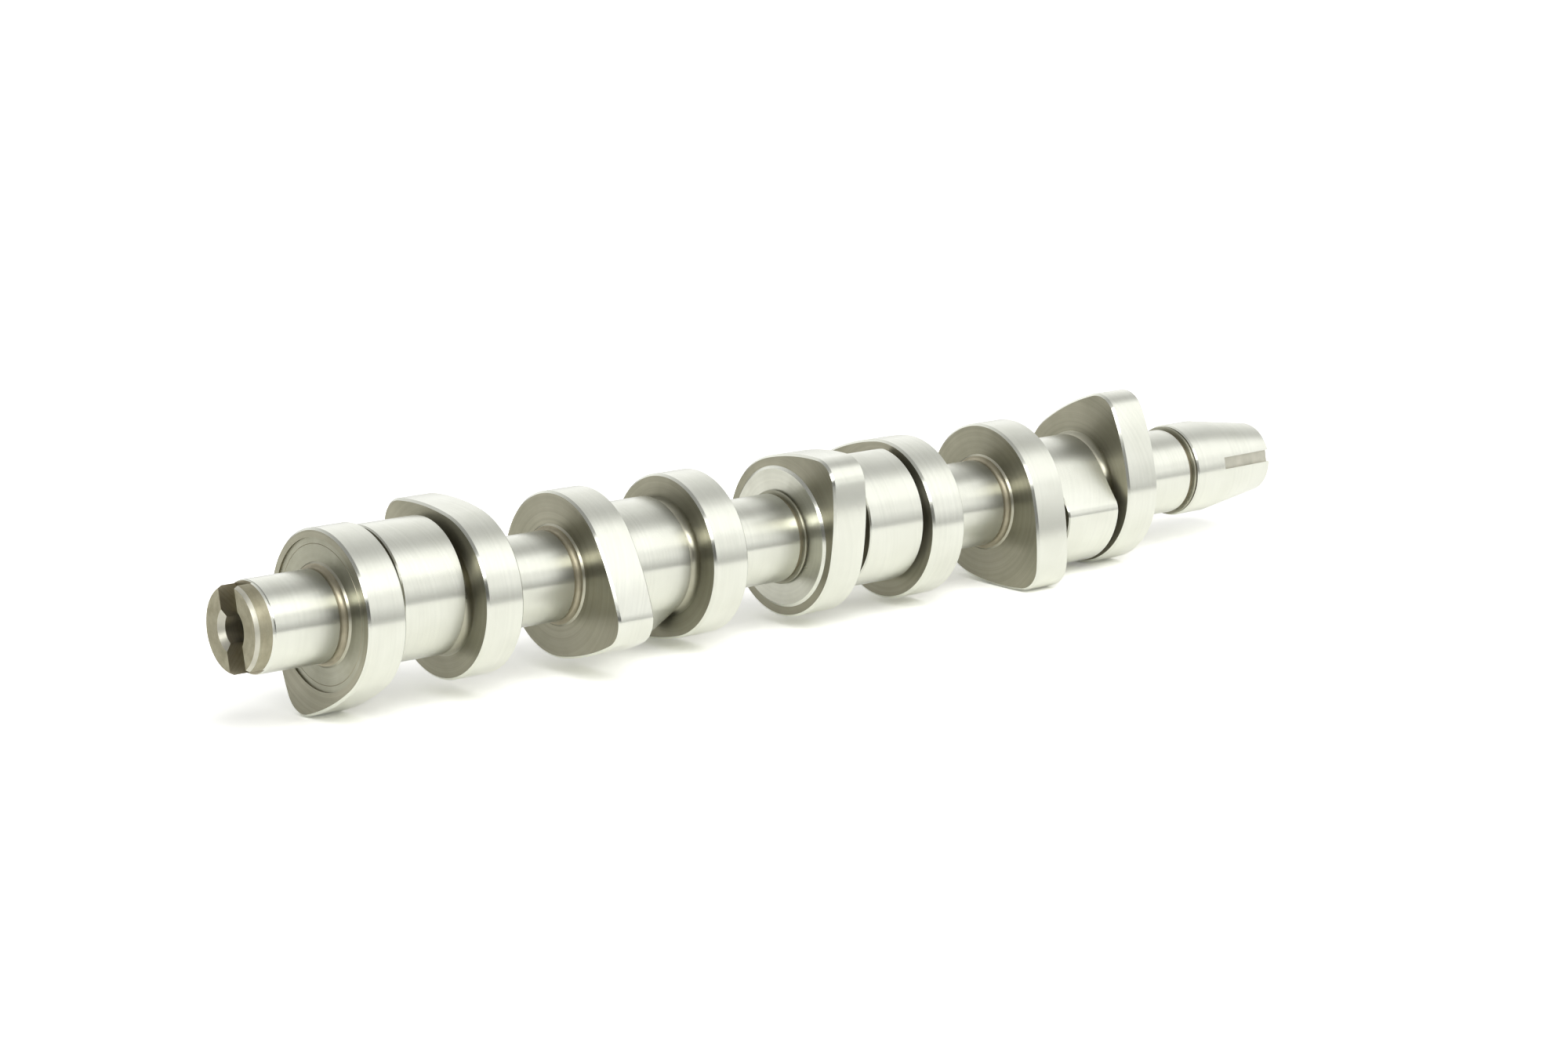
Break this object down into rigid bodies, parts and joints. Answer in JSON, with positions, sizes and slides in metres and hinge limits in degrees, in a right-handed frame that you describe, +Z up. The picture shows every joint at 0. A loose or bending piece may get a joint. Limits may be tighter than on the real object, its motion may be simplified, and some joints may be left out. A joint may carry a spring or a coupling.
{
  "type": "camshaft",
  "caption": "Ground overhead camshaft with valve and injector lobes between its journals, a slotted drive end and a keyed taper with a bolt hole.",
  "frame": {"origin": "on the shaft's axis in the plane of the drive end's face, at the mouth of the drive slot", "axes": "+X along the shaft from the drive end to the taper, +Z up as it lies at rest"},
  "size_m": [0.4191, 0.066, 0.066],
  "materials": {
    "ground_steel": "ground lobes and journals, turned side faces"
  },
  "bodies": {
    "root": {"camshaft": "ground_steel"}
  },
  "joints": []
}
